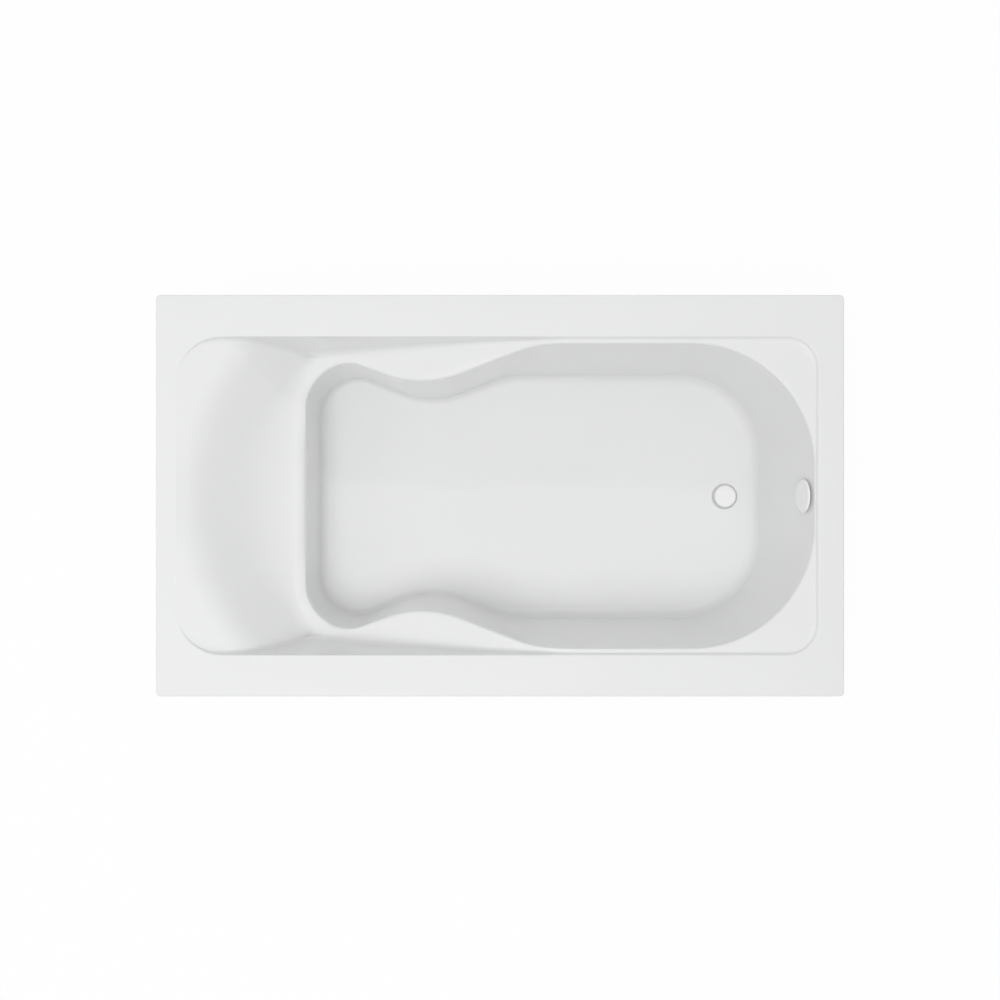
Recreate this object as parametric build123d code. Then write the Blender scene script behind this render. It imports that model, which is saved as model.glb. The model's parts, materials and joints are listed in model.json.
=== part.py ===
from build123d import *
import math
import os

# Drop-in bathtub. X runs along the tub towards the drain, Y across it, Z up from the floor under the feet.

# Rim
RIM_LENGTH = 1829.0
RIM_WIDTH = 1067.0
RIM_HEIGHT = 546.0
RIM_CORNER_RADIUS = 12.0
RIM_LIP_HEIGHT = 25.0
RIM_EDGE_RADIUS = 2.5

# Sheet thicknesses
ACRYLIC = 4.0
FIBREGLASS = 5.0

# Deck widths round the basin edge, the opening in the rim
DECK_HEAD = 52.5
DECK_FOOT = 68.5
DECK_SIDE = 110.5
BASIN_HEAD_CORNER = 122.0
BASIN_FOOT_CORNER = 82.0
BASIN_DRAFT = 8.0

# Ledge and armrests, seen from the side
LEDGE_DROP = 12.0
ARMREST_LENGTH = 725.0
ARMREST_RADIUS = 200.0
LIP_FROM_HEAD = 307.0
LIP_DROP = 182.0
LIP_CREASE_RADIUS = 15.0
SHELF_LENGTH = 92.0
SHELF_RISE = 4.0

# Backrest: a flat shoulder, then a steep part that curves round the bather's back
SHOULDER_LENGTH = 37.0
SHOULDER_DROP = 6.5
BACK_PLAN_RADIUS = 690.0
BACK_TOP_RADIUS = 80.0
BACK_HOLLOW_RADIUS = 30.0
BACK_HOLLOW_SINK = 0.7

# Well, the hourglass below the ledge: its floor, and its outline there and at the rim's height
FLOOR_HEIGHT = 116.0
FLOOR_FALL_ANGLE = 0.38
FLOOR_CORNER_RADIUS = 34.0
WELL_LIP_RADIUS = 7.0
WAIST_FROM_LIP = 348.0
FLOOR_SHOULDER_FROM_WAIST = 222.0
TOP_SHOULDER_FROM_WAIST = 307.0
FLOOR_FOOT_INSET = 74.0
TOP_FOOT_INSET = 5.0
FLOOR_HEAD_FROM_LIP = 15.0
TOP_HEAD_FROM_LIP = -11.0
FLOOR_SIDE_INSET = 62.0
TOP_SIDE_INSET = 15.0
FLOOR_WAIST_INSET = 151.0
TOP_WAIST_INSET = 115.0
FLOOR_LOBE_INSET = 10.0
TOP_LOBE_INSET = -7.0
FLOOR_FOOT_CORNER = 230.0
TOP_FOOT_CORNER = 330.0
SHOULDER_RADIUS = 250.0
FLOOR_WAIST_RADIUS = 245.0
TOP_WAIST_RADIUS = 330.0
HEAD_CORNER_RADIUS = 100.0

# Drain
DRAIN_FROM_FLOOR_END = 90.0
DRAIN_HOLE_RADIUS = 24.5
FLANGE_RADIUS = 36.5
FLANGE_THICKNESS = 3.0
FLANGE_BORE_RADIUS = 20.0
FLANGE_TAIL_WALL = 3.6
CROSSBAR_WIDTH = 3.5
CROSSBAR_HEIGHT = 4.0
CROSSBAR_HUB_RADIUS = 7.0
GASKET_THICKNESS = 3.0
CAP_RADIUS = 31.5
CAP_THICKNESS = 4.0
CAP_EDGE_RADIUS = 1.0
SEAL_THICKNESS = 1.0
POST_RADIUS = 4.0
SLEEVE_WALL = 2.4

# Waste and overflow pipes
PIPE_RADIUS = 19.05
PIPE_WALL = 1.6
SOCKET_CLEARANCE = 0.25
FITTING_WALL = 3.2
WASTE_CENTRE_HEIGHT = 70.0
STANDPIPE_BEHIND_BASIN = 30.0
TAILPIECE_END_HEIGHT = 8.0
SPIGOT_RADIUS = 24.13
SPIGOT_LENGTH = 18.0
SPIGOT_WALL = 3.7
SOCKET_DEPTH = 20.0
TEE_FOOT_LENGTH = 13.0
NUT_RADIUS = 27.5
NUT_LENGTH = 18.0
NUT_END_WALL = 3.0
NUT_SIDES = 8
WASHER_THICKNESS = 3.0
OVERFLOW_DROP = 70.0
OVERFLOW_HOLE_RADIUS = 27.0
OVERFLOW_COVER_RADIUS = 46.0
OVERFLOW_COVER_HEIGHT = 12.0
OVERFLOW_COVER_WALL = 2.5
OVERFLOW_SCREW_SPREAD = 16.0
BRACKET_RADIUS = 33.0
BRACKET_THICKNESS = 2.5
GASKET_RADIUS = 38.0
ELBOW_DROP = 51.0

# Wooden board under the floor and battens under the rim
BOARD_THICKNESS = 12.0
BOARD_HEAD_INSET = 70.0
BOARD_BEFORE_DRAIN = 82.0
BOARD_SIDE_INSET = 146.0
BOARD_CORNER_RADIUS = 40.0
BATTEN_WIDTH = 60.0
END_BATTEN_WIDTH = 36.0
BATTEN_GAP = 8.0

# Steel rails and levelling feet
RAIL_FROM_BOARD_HEAD = 70.0
RAIL_FROM_BOARD_FOOT = 120.0
RAIL_SIDE_INSET = 61.0
RAIL_WIDTH = 50.0
RAIL_HEIGHT = 25.0
RAIL_FLANGE = 12.0
RAIL_GAUGE = 2.0
RAIL_BEND_RADIUS = 3.0
RAIL_SCREW_EDGE = 35.0
RAIL_SCREW_MIDDLE = 60.0
SCREW_RADIUS = 2.2
SCREW_HEAD_RADIUS = 4.5
SCREW_HEAD_HEIGHT = 3.0
SCREW_LENGTH = 11.0
FOOT_FROM_RAIL_END = 30.0
STUD_RADIUS = 6.0
STUD_PLAY = 0.08
STUD_TOP_GAP = 9.0
NUT_FLATS_RADIUS = 9.5
HEX_CORNER_CHAMFER = 0.5
NUT_THICKNESS = 10.0
PAD_RADIUS = 25.0
PAD_BRIM = 4.0
PAD_HEIGHT = 17.0
PAD_TOP_RADIUS = 11.0
PAD_COLLAR_RADIUS = 12.5
PAD_COLLAR_HEIGHT = 8.0
BALL_RADIUS = 6.5
BALL_HEIGHT = 9.5
NECK_RADIUS = 4.5
HEX_HEIGHT = 7.0

# Places along the tub and across it that follow from the sizes above
BASIN_HEAD_X = DECK_HEAD - RIM_LENGTH / 2
BASIN_FOOT_X = RIM_LENGTH / 2 - DECK_FOOT
BASIN_HALF_WIDTH = RIM_WIDTH / 2 - DECK_SIDE
LIP_X = BASIN_HEAD_X + LIP_FROM_HEAD
SHELF_X = LIP_X - SHELF_LENGTH
SHOULDER_X = BASIN_HEAD_X + SHOULDER_LENGTH
ARMREST_START_X = LIP_X + ARMREST_LENGTH
WAIST_X = LIP_X + WAIST_FROM_LIP
FLOOR_FOOT_X = BASIN_FOOT_X - FLOOR_FOOT_INSET
TOP_FOOT_X = BASIN_FOOT_X - TOP_FOOT_INSET
DRAIN_X = FLOOR_FOOT_X - DRAIN_FROM_FLOOR_END
STANDPIPE_X = BASIN_FOOT_X + STANDPIPE_BEHIND_BASIN
BOARD_HEAD_X = LIP_X + FLOOR_HEAD_FROM_LIP + BOARD_HEAD_INSET
BOARD_FOOT_X = DRAIN_X - BOARD_BEFORE_DRAIN
BOARD_HALF_WIDTH = BASIN_HALF_WIDTH - FLOOR_SIDE_INSET - BOARD_SIDE_INSET
RAIL_X = (BOARD_HEAD_X + RAIL_FROM_BOARD_HEAD, BOARD_FOOT_X - RAIL_FROM_BOARD_FOOT)
RAIL_HALF_LENGTH = BASIN_HALF_WIDTH - FLOOR_SIDE_INSET - RAIL_SIDE_INSET
OUTER_SCREW_Y = BOARD_HALF_WIDTH - RAIL_SCREW_EDGE
RAIL_SCREW_Y = (-OUTER_SCREW_Y, -RAIL_SCREW_MIDDLE, RAIL_SCREW_MIDDLE, OUTER_SCREW_Y)
FOOT_Y = RAIL_HALF_LENGTH - FOOT_FROM_RAIL_END

# Levels and clearances that follow from the sizes above
SEAT_GAP = 0.3
DECK_UNDERSIDE = RIM_HEIGHT - ACRYLIC
LIP_HEIGHT = RIM_HEIGHT - LIP_DROP
BED_HEIGHT = FLOOR_HEIGHT - ACRYLIC - FIBREGLASS
BOARD_BOTTOM = BED_HEIGHT - BOARD_THICKNESS
RAIL_WEB_BOTTOM = BOARD_BOTTOM - RAIL_GAUGE
DRAFT_PER_MM = math.tan(math.radians(BASIN_DRAFT))
SHEET = ACRYLIC + FIBREGLASS
WALL_BACK = SHEET + SEAT_GAP
RECESS_RADIUS = FLANGE_RADIUS + 1.5
RECESS_HEIGHT = FLOOR_HEIGHT - FLANGE_THICKNESS
FOOT_WALL_SLOPE = (TOP_FOOT_X - FLOOR_FOOT_X) / (RIM_HEIGHT - FLOOR_HEIGHT)
ELBOW_SOCKET_HEIGHT = RIM_HEIGHT - OVERFLOW_DROP - ELBOW_DROP
SOCKET_BORE = PIPE_RADIUS + SOCKET_CLEARANCE
SOCKET_RADIUS = SOCKET_BORE + FITTING_WALL


def mirrored_outline(half_points, half_radii):
    """Closed outline from the corner points of its +Y half, each rounded by its own radius."""
    other_half = [(x, -y) for x, y in reversed(half_points)]
    radii = half_radii + half_radii[::-1]
    return make_face(FilletPolyline(*(half_points + other_half), radius=radii, close=True))


def well_floor_outline(grow):
    side = BASIN_HALF_WIDTH + grow
    points = [
        (FLOOR_FOOT_X + grow, side - FLOOR_SIDE_INSET),
        (WAIST_X + FLOOR_SHOULDER_FROM_WAIST, side - FLOOR_SIDE_INSET),
        (WAIST_X, side - FLOOR_WAIST_INSET),
        (LIP_X + FLOOR_HEAD_FROM_LIP - grow, side - FLOOR_LOBE_INSET),
    ]
    radii = [FLOOR_FOOT_CORNER + grow, SHOULDER_RADIUS, FLOOR_WAIST_RADIUS - grow, HEAD_CORNER_RADIUS + grow]
    return mirrored_outline(points, radii)


def well_top_outline(grow):
    side = BASIN_HALF_WIDTH + grow
    points = [
        (TOP_FOOT_X + grow, side - TOP_SIDE_INSET),
        (WAIST_X + TOP_SHOULDER_FROM_WAIST, side - TOP_SIDE_INSET),
        (WAIST_X, side - TOP_WAIST_INSET),
        (LIP_X + TOP_HEAD_FROM_LIP - grow, side - TOP_LOBE_INSET),
    ]
    radii = [TOP_FOOT_CORNER + grow, SHOULDER_RADIUS, TOP_WAIST_RADIUS - grow, HEAD_CORNER_RADIUS + grow]
    return mirrored_outline(points, radii)


def well_form(grow, floor_height, fall_angle):
    """Drafted hourglass from the floor to the rim's top, with a rounded floor edge."""
    fall = DRAIN_X * math.sin(math.radians(fall_angle))
    floor = Pos(0, 0, floor_height + fall) * Rot(0, fall_angle, 0) * well_floor_outline(grow)
    top = Pos(0, 0, RIM_HEIGHT) * well_top_outline(grow)
    form = loft([floor, top])
    floor_edges = form.faces().sort_by(Axis.Z)[0].edges()
    return fillet(floor_edges, FLOOR_CORNER_RADIUS + grow)


def basin_outline(grow, shrink):
    points = [
        (BASIN_FOOT_X + grow - shrink, BASIN_HALF_WIDTH + grow - shrink),
        (BASIN_HEAD_X - grow + shrink, BASIN_HALF_WIDTH + grow - shrink),
    ]
    return mirrored_outline(points, [BASIN_FOOT_CORNER + grow, BASIN_HEAD_CORNER + grow])


def seat_profile(drop):
    """Shelf, armrest slope and foot ledge as one line in the XZ plane, closed above the rim."""
    above = RIM_HEIGHT + LIP_DROP
    far_head = BASIN_HEAD_X - SHOULDER_LENGTH
    far_foot = RIM_LENGTH / 2
    rise_to_head = SHELF_RISE / SHELF_LENGTH * (LIP_X - far_head)
    line = [
        (far_head, LIP_HEIGHT + rise_to_head - drop),
        (LIP_X, LIP_HEIGHT - drop),
        (ARMREST_START_X, RIM_HEIGHT - LEDGE_DROP - drop),
        (far_foot, RIM_HEIGHT - LEDGE_DROP - drop),
    ]
    seat = FilletPolyline(*line, radius=[LIP_CREASE_RADIUS, ARMREST_RADIUS])
    lid = Polyline(line[-1], (far_foot, above), (far_head, above), line[0])
    return Plane.XZ * make_face(seat + lid)


def back_mass(drop):
    """Everything behind the backrest: its steep part turned about an upright axis, cut by the flat shoulder."""
    axis_x = SHELF_X + BACK_PLAN_RADIUS
    back = drop / 2
    foot = LIP_HEIGHT - BACK_HOLLOW_SINK - drop
    below = foot - SHEET * 2
    above = RIM_HEIGHT + SHELF_LENGTH
    shoulder = RIM_HEIGHT - SHOULDER_DROP - drop
    shelf = LIP_HEIGHT + SHELF_RISE - drop
    run_per_rise = (SHELF_X - SHOULDER_X) / (shoulder - shelf)
    foot_x = SHELF_X - back + (shelf - foot) * run_per_rise - axis_x
    far = BASIN_HEAD_X - BASIN_HEAD_CORNER - axis_x
    steep_line = [
        (foot_x + BACK_HOLLOW_RADIUS, foot),
        (foot_x, foot),
        (foot_x - (above - foot) * run_per_rise, above),
    ]
    hollow = FilletPolyline(*steep_line, radius=BACK_HOLLOW_RADIUS)
    closing = Polyline(steep_line[-1], (far, above), (far, below), (steep_line[0][0], below), steep_line[0])
    turned = Pos(axis_x, 0, 0) * revolve(Plane.XZ * make_face(hollow + closing), Axis.Z)
    shoulder_slope = SHOULDER_DROP / SHOULDER_LENGTH
    head_end = axis_x + far
    section = Polyline(
        (head_end, RIM_HEIGHT - drop + shoulder_slope * (BASIN_HEAD_X - head_end)),
        (axis_x, RIM_HEIGHT - drop - shoulder_slope * (axis_x - BASIN_HEAD_X)),
        (axis_x, below),
        (head_end, below),
        close=True,
    )
    under_shoulder = extrude(Plane.XZ * make_face(section), RIM_WIDTH, both=True)
    mass = turned & under_shoulder
    top_edge = mass.edges().sort_by_distance((SHOULDER_X - back, 0, shoulder))[0]
    return fillet(top_edge, BACK_TOP_RADIUS)


def upper_form(grow, drop):
    """The basin above the well: the drafted basin edge, with the seat and the backrest below it."""
    depth = LIP_DROP + SHEET * 2
    height_over = ACRYLIC * 4
    low = Pos(0, 0, RIM_HEIGHT - depth) * basin_outline(grow, depth * DRAFT_PER_MM)
    high = Pos(0, 0, RIM_HEIGHT + height_over) * basin_outline(grow, -height_over * DRAFT_PER_MM)
    drafted = loft([low, high])
    seat = extrude(seat_profile(drop), RIM_WIDTH, both=True)
    return (drafted & seat) - back_mass(drop)


def basin_form(grow, drop, floor_height, fall_angle, lip_radius):
    """Upper basin and well as one form, with the edge between them rounded."""
    upper = upper_form(grow, drop)
    well = well_form(grow, floor_height, fall_angle)
    form = upper + well
    lip_edges = new_edges(upper, well, combined=form)
    return fillet(lip_edges, lip_radius)


def slab(bottom, top):
    """Block wider than the rim, for trimming a form between two heights."""
    block = Box(RIM_LENGTH * 2, RIM_WIDTH * 2, top - bottom, align=(Align.CENTER, Align.CENTER, Align.MIN))
    return Pos(0, 0, bottom) * block


def disc(radius, bottom, top, x=0.0, y=0.0):
    cylinder = Cylinder(radius, top - bottom, align=(Align.CENTER, Align.CENTER, Align.MIN))
    return Pos(x, y, bottom) * cylinder


def rim_tray():
    """Flat deck with its turned-down lip, still without the basin."""
    outer = Pos(0, 0, RIM_HEIGHT - RIM_LIP_HEIGHT) * RectangleRounded(RIM_LENGTH, RIM_WIDTH, RIM_CORNER_RADIUS)
    inside = RectangleRounded(
        RIM_LENGTH - 2 * ACRYLIC,
        RIM_WIDTH - 2 * ACRYLIC,
        RIM_CORNER_RADIUS - ACRYLIC,
    )
    block = extrude(outer, RIM_LIP_HEIGHT)
    block = fillet(block.faces().sort_by(Axis.Z)[-1].edges(), RIM_EDGE_RADIUS)
    pocket = extrude(Pos(0, 0, RIM_HEIGHT - RIM_LIP_HEIGHT) * inside, RIM_LIP_HEIGHT - ACRYLIC)
    return block - pocket


def overflow_plane():
    """Plane on the foot wall's inner face, with its normal into the basin."""
    height = RIM_HEIGHT - OVERFLOW_DROP
    wall_x = TOP_FOOT_X - OVERFLOW_DROP * FOOT_WALL_SLOPE
    return Plane(origin=(wall_x, 0, height), x_dir=(0, 1, 0), z_dir=(-1, 0, FOOT_WALL_SLOPE))


def overflow_hole(radius):
    reach = SHEET * 3
    return overflow_plane().location * disc(radius, -reach, reach)


def acrylic_shell(inner, outer):
    below_deck = slab(0, DECK_UNDERSIDE)
    drain_pad = disc(RECESS_RADIUS + ACRYLIC, RECESS_HEIGHT - ACRYLIC, FLOOR_HEIGHT, DRAIN_X)
    shell = rim_tray() + (outer & below_deck)
    shell = shell - inner
    shell = shell + drain_pad
    shell = shell - disc(RECESS_RADIUS, RECESS_HEIGHT, RIM_HEIGHT, DRAIN_X)
    shell = shell - disc(DRAIN_HOLE_RADIUS, 0, RIM_HEIGHT, DRAIN_X)
    shell = shell - overflow_hole(OVERFLOW_HOLE_RADIUS)
    return shell


def fibreglass_backing(outer, backed):
    below_deck = slab(0, DECK_UNDERSIDE)
    drain_pad = disc(RECESS_RADIUS + ACRYLIC, RECESS_HEIGHT - ACRYLIC, FLOOR_HEIGHT, DRAIN_X)
    backing = (backed & below_deck) - outer
    backing = backing - drain_pad
    backing = backing - disc(DRAIN_HOLE_RADIUS, 0, RIM_HEIGHT, DRAIN_X)
    backing = backing - overflow_hole(OVERFLOW_HOLE_RADIUS)
    return backing


def rail_screw_places():
    return [(x, y) for x in RAIL_X for y in RAIL_SCREW_Y]


def base_board():
    length = BOARD_FOOT_X - BOARD_HEAD_X
    middle = (BOARD_FOOT_X + BOARD_HEAD_X) / 2
    outline = Pos(middle, 0, BOARD_BOTTOM) * RectangleRounded(length, 2 * BOARD_HALF_WIDTH, BOARD_CORNER_RADIUS)
    board = extrude(outline, BOARD_THICKNESS)
    for x, y in rail_screw_places():
        board = board - disc(SCREW_RADIUS, BOARD_BOTTOM, BOARD_BOTTOM + SCREW_LENGTH, x, y)
    return board


def batten(length, width, x, y):
    """Strip under the deck, as thick as the lip hangs down."""
    thickness = RIM_LIP_HEIGHT - ACRYLIC
    strip = Box(length, width, thickness, align=(Align.CENTER, Align.CENTER, Align.MAX))
    strip = chamfer(strip.faces().sort_by(Axis.Z)[0].edges(), ACRYLIC / 4)
    return Pos(x, y, DECK_UNDERSIDE) * strip


def side_batten(side):
    length = BASIN_FOOT_X - BASIN_HEAD_X - BASIN_HEAD_CORNER
    middle = (BASIN_FOOT_X + BASIN_HEAD_X) / 2
    y = RIM_WIDTH / 2 - ACRYLIC - BATTEN_GAP - BATTEN_WIDTH / 2
    return batten(length, BATTEN_WIDTH, middle, side * y)


def end_batten(side, width):
    length = 2 * (BASIN_HALF_WIDTH - BASIN_FOOT_CORNER)
    x = RIM_LENGTH / 2 - ACRYLIC - BATTEN_GAP / 2 - width / 2
    return batten(width, length, side * x, 0)


def cradle_rail(x):
    """Hat-section rail across the tub, open downwards, with holes for its screws and studs."""
    half = RAIL_WIDTH / 2
    low = BOARD_BOTTOM - RAIL_HEIGHT
    middle_line = [
        (half + RAIL_FLANGE, low + RAIL_GAUGE / 2),
        (half - RAIL_GAUGE / 2, low + RAIL_GAUGE / 2),
        (half - RAIL_GAUGE / 2, BOARD_BOTTOM - RAIL_GAUGE / 2),
        (-half + RAIL_GAUGE / 2, BOARD_BOTTOM - RAIL_GAUGE / 2),
        (-half + RAIL_GAUGE / 2, low + RAIL_GAUGE / 2),
        (-half - RAIL_FLANGE, low + RAIL_GAUGE / 2),
    ]
    path = FilletPolyline(*middle_line, radius=RAIL_BEND_RADIUS)
    section = Plane.XZ * make_face(offset(path, RAIL_GAUGE / 2, kind=Kind.INTERSECTION))
    rail = Pos(x, 0, 0) * extrude(section, RAIL_HALF_LENGTH, both=True)
    for y in RAIL_SCREW_Y:
        rail = rail - disc(SCREW_RADIUS + SEAT_GAP, low, BOARD_BOTTOM + RAIL_GAUGE, x, y)
    for y in (-FOOT_Y, FOOT_Y):
        rail = rail - disc(STUD_RADIUS + SEAT_GAP, low, BOARD_BOTTOM + RAIL_GAUGE, x, y)
    return rail


def rail_screws():
    """Pan-head screws up through the rails' webs into the board."""
    screws = []
    for x, y in rail_screw_places():
        head = disc(SCREW_HEAD_RADIUS, RAIL_WEB_BOTTOM - SCREW_HEAD_HEIGHT, RAIL_WEB_BOTTOM, x, y)
        head = chamfer(head.edges().sort_by(Axis.Z)[0], SCREW_HEAD_HEIGHT / 3)
        shank = disc(SCREW_RADIUS, RAIL_WEB_BOTTOM, BOARD_BOTTOM + SCREW_LENGTH, x, y)
        screws.append(head + shank)
    return Compound(screws)


def foot_places():
    return [(x, y) for x in RAIL_X for y in (FOOT_Y, -FOOT_Y)]


def hexagon(top, thickness, x, y):
    outline = Pos(x, y, top - thickness) * RegularPolygon(NUT_FLATS_RADIUS, 6, major_radius=False)
    prism = extrude(outline, thickness)
    return chamfer(prism.edges().filter_by(Axis.Z), HEX_CORNER_CHAMFER)


def rail_nuts(top):
    """One nut on each stud, with its upper face at the given height."""
    bore = STUD_RADIUS + STUD_PLAY
    nuts = []
    for x, y in foot_places():
        nut = hexagon(top, NUT_THICKNESS, x, y) - disc(bore, top - NUT_THICKNESS, top, x, y)
        nuts.append(nut)
    return Compound(nuts)


def foot_pad(x, y):
    """Round pad, coned towards its collar, with a ball socket."""
    with BuildPart() as pad:
        with BuildSketch(Plane.XZ):
            with BuildLine():
                Polyline(
                    (0, 0),
                    (PAD_RADIUS, 0),
                    (PAD_RADIUS, PAD_BRIM),
                    (PAD_COLLAR_RADIUS, PAD_COLLAR_HEIGHT),
                    (PAD_TOP_RADIUS, PAD_HEIGHT),
                    (0, PAD_HEIGHT),
                    close=True,
                )
            make_face()
        revolve(axis=Axis.Z)
    neck_room = NECK_RADIUS + STUD_PLAY * 10
    socket = Pos(0, 0, BALL_HEIGHT) * Sphere(BALL_RADIUS + STUD_PLAY)
    pad_solid = pad.part - socket - disc(neck_room, BALL_HEIGHT, PAD_HEIGHT)
    return Pos(x, y, 0) * pad_solid


def foot_stud(x, y):
    """Threaded stud with a ball end, a neck and a hexagon to turn it by."""
    hex_bottom = PAD_HEIGHT + SEAT_GAP
    hex_top = hex_bottom + HEX_HEIGHT
    ball = Pos(x, y, BALL_HEIGHT) * Sphere(BALL_RADIUS)
    neck = disc(NECK_RADIUS, BALL_HEIGHT, hex_bottom, x, y)
    grip = hexagon(hex_top, HEX_HEIGHT, x, y)
    shank = disc(STUD_RADIUS, hex_top, BED_HEIGHT - STUD_TOP_GAP, x, y)
    shank = chamfer(shank.edges().sort_by(Axis.Z)[-1], STUD_RADIUS / 6)
    return ball + neck + grip + shank


def drain_flange():
    """Basket flange in the floor recess, with its tail and a cross of bars that holds the post."""
    tail_radius = FLANGE_BORE_RADIUS + FLANGE_TAIL_WALL
    tail_bottom = WASTE_CENTRE_HEIGHT + SOCKET_RADIUS
    bar_top = tail_bottom + CROSSBAR_HEIGHT
    plate = disc(FLANGE_RADIUS, RECESS_HEIGHT, FLOOR_HEIGHT, DRAIN_X)
    plate = fillet(plate.edges().sort_by(Axis.Z)[-1], FLANGE_THICKNESS / 2)
    flange = plate + disc(tail_radius, tail_bottom, RECESS_HEIGHT, DRAIN_X)
    flange = flange - disc(FLANGE_BORE_RADIUS, tail_bottom, FLOOR_HEIGHT, DRAIN_X)
    mouth = flange.edges().filter_by(GeomType.CIRCLE).group_by(Axis.Z)[-1].sort_by(SortBy.RADIUS)[0]
    flange = chamfer(mouth, FLANGE_THICKNESS * 0.8)
    bars = disc(CROSSBAR_HUB_RADIUS, tail_bottom, bar_top, DRAIN_X)
    for turn in (0, 90):
        bar_size = (2 * tail_radius - 1, CROSSBAR_WIDTH, CROSSBAR_HEIGHT)
        bar = Box(*bar_size, align=(Align.CENTER, Align.CENTER, Align.MIN))
        bars = bars + Pos(DRAIN_X, 0, tail_bottom) * Rot(0, 0, turn) * bar
    return flange + bars - disc(POST_RADIUS, tail_bottom, bar_top, DRAIN_X)


def stopper_post():
    """Fixed pin, screwed into the cross of the flange, that the stopper slides on."""
    bottom = WASTE_CENTRE_HEIGHT + SOCKET_RADIUS
    return disc(POST_RADIUS, bottom, FLOOR_HEIGHT - SEAT_GAP * 2, DRAIN_X)


def stopper_cap():
    """Flat cap with the sleeve under it that runs on the post."""
    underside = FLOOR_HEIGHT + SEAL_THICKNESS + SEAT_GAP
    bore = POST_RADIUS + STUD_PLAY
    sleeve_bottom = WASTE_CENTRE_HEIGHT + SOCKET_RADIUS + CROSSBAR_HEIGHT + SEAT_GAP * 4
    cap = disc(CAP_RADIUS, underside, underside + CAP_THICKNESS, DRAIN_X)
    cap = fillet(cap.edges().sort_by(Axis.Z)[-1], CAP_EDGE_RADIUS)
    sleeve = disc(bore + SLEEVE_WALL, sleeve_bottom, underside, DRAIN_X)
    return cap + sleeve - disc(bore, sleeve_bottom, underside, DRAIN_X)


def stopper_seal():
    """Flat rubber ring under the cap, just clear of the flange."""
    bottom = FLOOR_HEIGHT + SEAT_GAP
    ring = disc(CAP_RADIUS - 2, bottom, bottom + SEAL_THICKNESS, DRAIN_X)
    return ring - disc(POST_RADIUS + STUD_PLAY + SLEEVE_WALL, bottom, bottom + SEAL_THICKNESS, DRAIN_X)


def drain_gasket():
    top = BED_HEIGHT
    ring = disc(GASKET_RADIUS, top - GASKET_THICKNESS, top, DRAIN_X)
    return ring - disc(DRAIN_HOLE_RADIUS, top - GASKET_THICKNESS, top, DRAIN_X)


def drain_shoe():
    """Cup that screws onto the flange's tail and turns the waste towards the foot end."""
    top = BED_HEIGHT - GASKET_THICKNESS
    bore = FLANGE_BORE_RADIUS + FLANGE_TAIL_WALL + SOCKET_CLEARANCE
    cup_radius = bore + FITTING_WALL
    bottom = WASTE_CENTRE_HEIGHT - SOCKET_RADIUS
    outlet_length = cup_radius + SOCKET_DEPTH + 5
    outlet_axis = Pos(DRAIN_X, 0, WASTE_CENTRE_HEIGHT) * Rot(0, 90, 0)
    body = disc(GASKET_RADIUS, top - FITTING_WALL, top, DRAIN_X) + disc(cup_radius, bottom, top, DRAIN_X)
    body = chamfer(body.edges().sort_by(Axis.Z)[0], FITTING_WALL * 2)
    body = body + outlet_axis * disc(SOCKET_RADIUS, 0, outlet_length)
    hollow = disc(bore, bottom + FITTING_WALL, top, DRAIN_X)
    hollow = chamfer(hollow.edges().sort_by(Axis.Z)[0], FITTING_WALL)
    return body - hollow - outlet_axis * disc(SOCKET_BORE, 0, outlet_length)


def shoe_outlet_x():
    return DRAIN_X + FLANGE_BORE_RADIUS + FLANGE_TAIL_WALL + SOCKET_CLEARANCE + FITTING_WALL + SOCKET_DEPTH + 5


def tee_inlet_x():
    return STANDPIPE_X - SOCKET_RADIUS - SOCKET_DEPTH


def tee_top():
    return WASTE_CENTRE_HEIGHT + SOCKET_RADIUS + SOCKET_DEPTH


def tee_bottom():
    return WASTE_CENTRE_HEIGHT - SOCKET_RADIUS - TEE_FOOT_LENGTH


def waste_tube():
    start = DRAIN_X + FLANGE_BORE_RADIUS + FLANGE_TAIL_WALL
    end = STANDPIPE_X - PIPE_RADIUS - SEAT_GAP
    axis = Pos(start, 0, WASTE_CENTRE_HEIGHT) * Rot(0, 90, 0)
    return axis * (disc(PIPE_RADIUS, 0, end - start) - disc(PIPE_RADIUS - PIPE_WALL, 0, end - start))


def waste_tee():
    """Tee behind the foot wall: overflow from above, waste from the shoe, outlet below."""
    run = disc(SOCKET_RADIUS, tee_bottom(), tee_top(), STANDPIPE_X)
    inlet_length = STANDPIPE_X - tee_inlet_x()
    inlet_axis = Pos(tee_inlet_x(), 0, WASTE_CENTRE_HEIGHT) * Rot(0, 90, 0)
    body = run + inlet_axis * disc(SOCKET_RADIUS, 0, inlet_length)
    body = body - disc(SOCKET_BORE, tee_bottom(), tee_top(), STANDPIPE_X)
    return body - inlet_axis * disc(SOCKET_BORE, 0, inlet_length)


def tailpiece():
    """Tube from the tee, widening to the spigot that the house's waste pipe is joined to."""
    top = WASTE_CENTRE_HEIGHT - PIPE_RADIUS - SEAT_GAP
    spigot_top = TAILPIECE_END_HEIGHT + SPIGOT_LENGTH
    outside = disc(PIPE_RADIUS, TAILPIECE_END_HEIGHT, top, STANDPIPE_X)
    outside = outside + disc(SPIGOT_RADIUS, TAILPIECE_END_HEIGHT, spigot_top, STANDPIPE_X)
    mouth = disc(SPIGOT_RADIUS - SPIGOT_WALL, TAILPIECE_END_HEIGHT, spigot_top - SPIGOT_WALL, STANDPIPE_X)
    return outside - mouth - disc(PIPE_RADIUS - PIPE_WALL, TAILPIECE_END_HEIGHT, top, STANDPIPE_X)


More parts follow.
